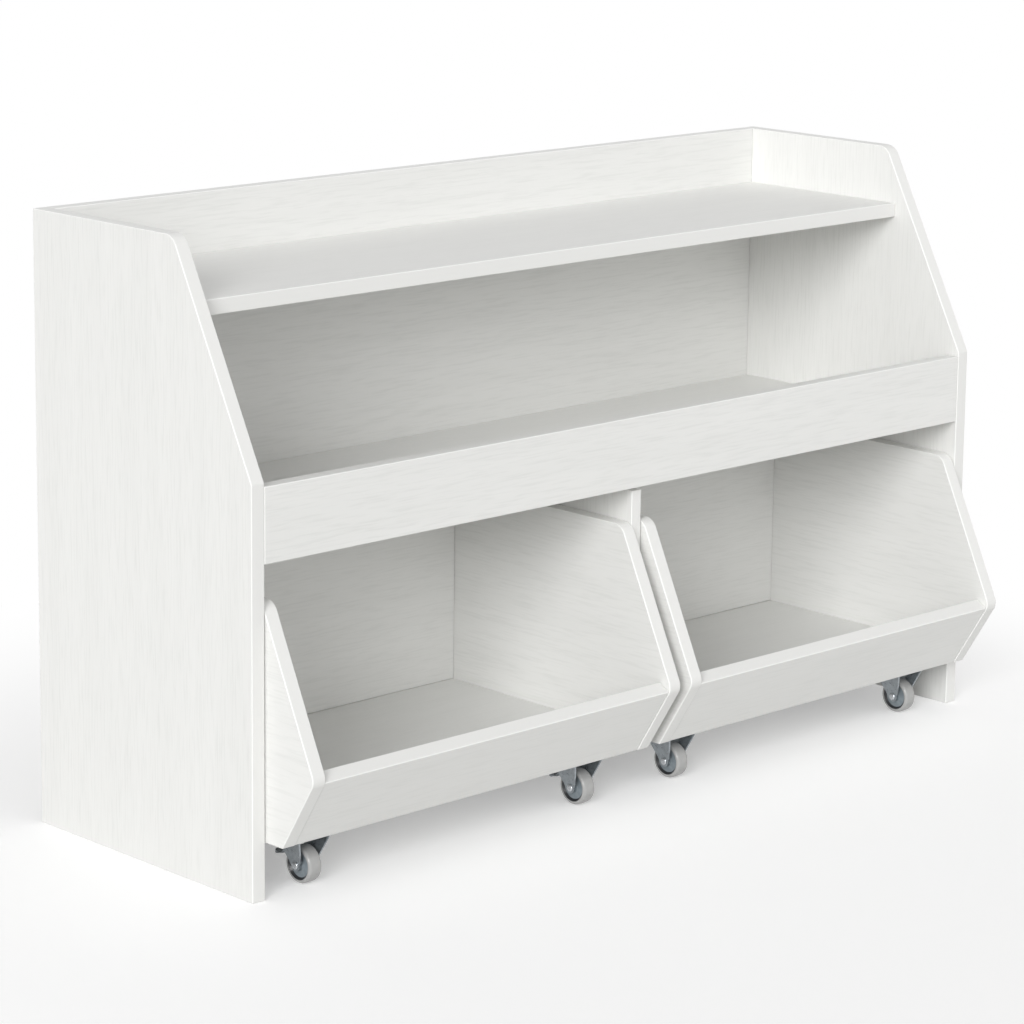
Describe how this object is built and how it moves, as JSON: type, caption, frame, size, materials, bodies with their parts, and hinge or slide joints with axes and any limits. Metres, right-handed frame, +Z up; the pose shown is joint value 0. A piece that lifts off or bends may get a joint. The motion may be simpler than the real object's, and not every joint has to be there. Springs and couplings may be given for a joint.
{
  "type": "toy storage bookcase",
  "caption": "Low white wood-grain bookcase with sloped sides and shelves, over open-front toy bins that roll out on swivel casters.",
  "frame": {"origin": "on the floor, under the middle of the whole bookcase's bounding box", "axes": "+X to the right as seen from the front, +Y to the back, +Z up; the front faces -Y"},
  "size_m": [1.06, 0.409, 0.6399],
  "materials": {
    "case_melamine": "white melamine-faced board with a fine wood grain, satin",
    "bin_melamine": "white melamine-faced board with a fine wood grain, satin",
    "zinc_plated_steel": "bright zinc plated pressed steel",
    "rivet_steel": "bright rivet",
    "wheel_rubber": "grey rubber, satin",
    "pedal_steel": "dark grey"
  },
  "bodies": {
    "case": {"case_side_left": "case_melamine", "case_side_right": "case_melamine", "back_panel": "case_melamine", "upper_shelf": "case_melamine", "middle_shelf": "case_melamine", "front_rail": "case_melamine", "centre_divider": "case_melamine"},
    "left_bin": {"left_bin_side_left": "bin_melamine", "left_bin_side_right": "bin_melamine", "left_bin_front_panel": "bin_melamine", "left_bin_floor": "bin_melamine", "left_bin_back_panel": "bin_melamine", "left_bin_front_left_caster_plate": "zinc_plated_steel", "left_bin_front_right_caster_plate": "zinc_plated_steel", "left_bin_rear_left_caster_plate": "zinc_plated_steel", "left_bin_rear_right_caster_plate": "zinc_plated_steel"},
    "left_bin_front_left_swivel": {"left_bin_front_left_caster_fork": "zinc_plated_steel", "left_bin_front_left_caster_axle": "rivet_steel"},
    "left_bin_front_left_wheel": {"left_bin_front_left_caster_wheel": "wheel_rubber"},
    "left_bin_front_left_brake": {"left_bin_front_left_caster_brake_pedal": "pedal_steel"},
    "left_bin_front_right_swivel": {"left_bin_front_right_caster_fork": "zinc_plated_steel", "left_bin_front_right_caster_axle": "rivet_steel"},
    "left_bin_front_right_wheel": {"left_bin_front_right_caster_wheel": "wheel_rubber"},
    "left_bin_front_right_brake": {"left_bin_front_right_caster_brake_pedal": "pedal_steel"},
    "left_bin_rear_left_swivel": {"left_bin_rear_left_caster_fork": "zinc_plated_steel", "left_bin_rear_left_caster_axle": "rivet_steel"},
    "left_bin_rear_left_wheel": {"left_bin_rear_left_caster_wheel": "wheel_rubber"},
    "left_bin_rear_right_swivel": {"left_bin_rear_right_caster_fork": "zinc_plated_steel", "left_bin_rear_right_caster_axle": "rivet_steel"},
    "left_bin_rear_right_wheel": {"left_bin_rear_right_caster_wheel": "wheel_rubber"},
    "right_bin": {"right_bin_side_left": "bin_melamine", "right_bin_side_right": "bin_melamine", "right_bin_front_panel": "bin_melamine", "right_bin_floor": "bin_melamine", "right_bin_back_panel": "bin_melamine", "right_bin_front_left_caster_plate": "zinc_plated_steel", "right_bin_front_right_caster_plate": "zinc_plated_steel", "right_bin_rear_left_caster_plate": "zinc_plated_steel", "right_bin_rear_right_caster_plate": "zinc_plated_steel"},
    "right_bin_front_left_swivel": {"right_bin_front_left_caster_fork": "zinc_plated_steel", "right_bin_front_left_caster_axle": "rivet_steel"},
    "right_bin_front_left_wheel": {"right_bin_front_left_caster_wheel": "wheel_rubber"},
    "right_bin_front_right_swivel": {"right_bin_front_right_caster_fork": "zinc_plated_steel", "right_bin_front_right_caster_axle": "rivet_steel"},
    "right_bin_front_right_wheel": {"right_bin_front_right_caster_wheel": "wheel_rubber"},
    "right_bin_rear_left_swivel": {"right_bin_rear_left_caster_fork": "zinc_plated_steel", "right_bin_rear_left_caster_axle": "rivet_steel"},
    "right_bin_rear_left_wheel": {"right_bin_rear_left_caster_wheel": "wheel_rubber"},
    "right_bin_rear_right_swivel": {"right_bin_rear_right_caster_fork": "zinc_plated_steel", "right_bin_rear_right_caster_axle": "rivet_steel"},
    "right_bin_rear_right_wheel": {"right_bin_rear_right_caster_wheel": "wheel_rubber"}
  },
  "joints": [
    {"name": "left_bin_slide", "type": "slide", "parent": "case", "child": "left_bin", "axis": [0, -1, 0], "range_m": [-0.047, 0.3]},
    {"name": "left_bin_front_left_swivel", "type": "hinge", "parent": "left_bin", "child": "left_bin_front_left_swivel", "pos_m": [-0.4498, -0.10346, 0.052], "axis": [0, 0, 1], "continuous": true},
    {"name": "left_bin_front_left_roll", "type": "hinge", "parent": "left_bin_front_left_swivel", "child": "left_bin_front_left_wheel", "pos_m": [-0.4498, -0.11746, 0.019], "axis": [1, 0, 0], "continuous": true},
    {"name": "left_bin_front_left_brake", "type": "hinge", "parent": "left_bin_front_left_swivel", "child": "left_bin_front_left_brake", "pos_m": [-0.4498, -0.10269, 0.03791], "axis": [-1, 0, 0], "range_deg": [0, 15]},
    {"name": "left_bin_front_right_swivel", "type": "hinge", "parent": "left_bin", "child": "left_bin_front_right_swivel", "pos_m": [-0.0712, -0.10346, 0.052], "axis": [0, 0, 1], "continuous": true},
    {"name": "left_bin_front_right_roll", "type": "hinge", "parent": "left_bin_front_right_swivel", "child": "left_bin_front_right_wheel", "pos_m": [-0.0712, -0.11746, 0.019], "axis": [1, 0, 0], "continuous": true},
    {"name": "left_bin_front_right_brake", "type": "hinge", "parent": "left_bin_front_right_swivel", "child": "left_bin_front_right_brake", "pos_m": [-0.0712, -0.10269, 0.03791], "axis": [-1, 0, 0], "range_deg": [0, 15]},
    {"name": "left_bin_rear_left_swivel", "type": "hinge", "parent": "left_bin", "child": "left_bin_rear_left_swivel", "pos_m": [-0.4498, 0.09154, 0.052], "axis": [0, 0, 1], "continuous": true},
    {"name": "left_bin_rear_left_roll", "type": "hinge", "parent": "left_bin_rear_left_swivel", "child": "left_bin_rear_left_wheel", "pos_m": [-0.4498, 0.07754, 0.019], "axis": [1, 0, 0], "continuous": true},
    {"name": "left_bin_rear_right_swivel", "type": "hinge", "parent": "left_bin", "child": "left_bin_rear_right_swivel", "pos_m": [-0.0712, 0.09154, 0.052], "axis": [0, 0, 1], "continuous": true},
    {"name": "left_bin_rear_right_roll", "type": "hinge", "parent": "left_bin_rear_right_swivel", "child": "left_bin_rear_right_wheel", "pos_m": [-0.0712, 0.07754, 0.019], "axis": [1, 0, 0], "continuous": true},
    {"name": "right_bin_slide", "type": "slide", "parent": "case", "child": "right_bin", "axis": [0, -1, 0], "range_m": [-0.047, 0.3]},
    {"name": "right_bin_front_left_swivel", "type": "hinge", "parent": "right_bin", "child": "right_bin_front_left_swivel", "pos_m": [0.0712, -0.10346, 0.052], "axis": [0, 0, 1], "continuous": true},
    {"name": "right_bin_front_left_roll", "type": "hinge", "parent": "right_bin_front_left_swivel", "child": "right_bin_front_left_wheel", "pos_m": [0.0712, -0.11746, 0.019], "axis": [1, 0, 0], "continuous": true},
    {"name": "right_bin_front_right_swivel", "type": "hinge", "parent": "right_bin", "child": "right_bin_front_right_swivel", "pos_m": [0.4498, -0.10346, 0.052], "axis": [0, 0, 1], "continuous": true},
    {"name": "right_bin_front_right_roll", "type": "hinge", "parent": "right_bin_front_right_swivel", "child": "right_bin_front_right_wheel", "pos_m": [0.4498, -0.11746, 0.019], "axis": [1, 0, 0], "continuous": true},
    {"name": "right_bin_rear_left_swivel", "type": "hinge", "parent": "right_bin", "child": "right_bin_rear_left_swivel", "pos_m": [0.0712, 0.09154, 0.052], "axis": [0, 0, 1], "continuous": true},
    {"name": "right_bin_rear_left_roll", "type": "hinge", "parent": "right_bin_rear_left_swivel", "child": "right_bin_rear_left_wheel", "pos_m": [0.0712, 0.07754, 0.019], "axis": [1, 0, 0], "continuous": true},
    {"name": "right_bin_rear_right_swivel", "type": "hinge", "parent": "right_bin", "child": "right_bin_rear_right_swivel", "pos_m": [0.4498, 0.09154, 0.052], "axis": [0, 0, 1], "continuous": true},
    {"name": "right_bin_rear_right_roll", "type": "hinge", "parent": "right_bin_rear_right_swivel", "child": "right_bin_rear_right_wheel", "pos_m": [0.4498, 0.07754, 0.019], "axis": [1, 0, 0], "continuous": true}
  ]
}
